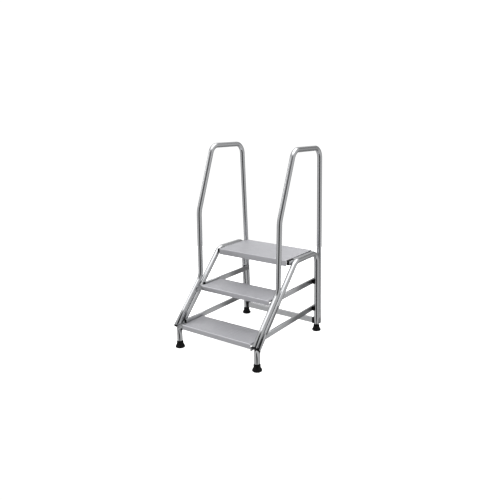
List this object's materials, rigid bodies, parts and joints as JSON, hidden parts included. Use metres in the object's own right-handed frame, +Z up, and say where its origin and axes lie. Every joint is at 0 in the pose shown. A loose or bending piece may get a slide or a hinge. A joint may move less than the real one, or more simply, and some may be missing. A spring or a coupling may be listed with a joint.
{
  "type": "mobile ladder stand",
  "caption": "Aluminium tube step stand with grooved treads, a standing platform and bent-tube handrails on both sides.",
  "frame": {"origin": "on the floor, under the middle of the bounding box", "axes": "+Z up; -Y towards the first step, where a user starts to climb; +X to the right of a user facing the steps"},
  "size_m": [0.759, 0.9321, 1.4435],
  "materials": {
    "tube_aluminium": "bright drawn",
    "satin_aluminium": "satin",
    "tread_aluminium": "matt anodised",
    "black_plastic": "moulded",
    "foot_rubber": "moulded",
    "bright_steel": "zinc plated"
  },
  "bodies": {
    "root": {"bottom_tread": "tread_aluminium", "bottom_tread_bolt_left_front": "bright_steel", "bottom_tread_bolt_left_rear": "bright_steel", "bottom_tread_bolt_right_front": "bright_steel", "bottom_tread_bolt_right_rear": "bright_steel", "bottom_tread_bracket_left": "satin_aluminium", "bottom_tread_bracket_right": "satin_aluminium", "cross_saddle_left": "black_plastic", "cross_saddle_right": "black_plastic", "front_foot_left": "foot_rubber", "front_foot_right": "foot_rubber", "front_leg_left": "satin_aluminium", "front_leg_right": "satin_aluminium", "handrail_left": "tube_aluminium", "handrail_plug_left": "black_plastic", "handrail_plug_right": "black_plastic", "handrail_right": "tube_aluminium", "lower_brace_left": "satin_aluminium", "lower_brace_plug_left_front": "black_plastic", "lower_brace_plug_left_rear": "black_plastic", "lower_brace_plug_right_front": "black_plastic", "lower_brace_plug_right_rear": "black_plastic", "lower_brace_right": "satin_aluminium", "lower_saddle_left": "black_plastic", "lower_saddle_right": "black_plastic", "middle_tread": "tread_aluminium", "middle_tread_bolt_left_front": "bright_steel", "middle_tread_bolt_left_rear": "bright_steel", "middle_tread_bolt_right_front": "bright_steel", "middle_tread_bolt_right_rear": "bright_steel", "middle_tread_bracket_left": "satin_aluminium", "middle_tread_bracket_right": "satin_aluminium", "platform_pad_left": "black_plastic", "platform_pad_right": "black_plastic", "post_nut_left": "bright_steel", "post_nut_right": "bright_steel", "post_plug_left": "black_plastic", "post_plug_right": "black_plastic", "rear_cross_brace": "satin_aluminium", "rear_foot_left": "foot_rubber", "rear_foot_right": "foot_rubber", "side_frame_left": "tube_aluminium", "side_frame_right": "tube_aluminium", "stringer_plug_left": "black_plastic", "stringer_plug_right": "black_plastic", "top_platform": "tread_aluminium", "top_platform_bolt_left_front": "bright_steel", "top_platform_bolt_left_rear": "bright_steel", "top_platform_bolt_right_front": "bright_steel", "top_platform_bolt_right_rear": "bright_steel", "top_platform_bracket_left": "satin_aluminium", "top_platform_bracket_right": "satin_aluminium", "upper_brace_left": "satin_aluminium", "upper_brace_plug_left_front": "black_plastic", "upper_brace_plug_left_rear": "black_plastic", "upper_brace_plug_right_front": "black_plastic", "upper_brace_plug_right_rear": "black_plastic", "upper_brace_right": "satin_aluminium", "upper_saddle_left": "black_plastic", "upper_saddle_right": "black_plastic"}
  },
  "joints": []
}
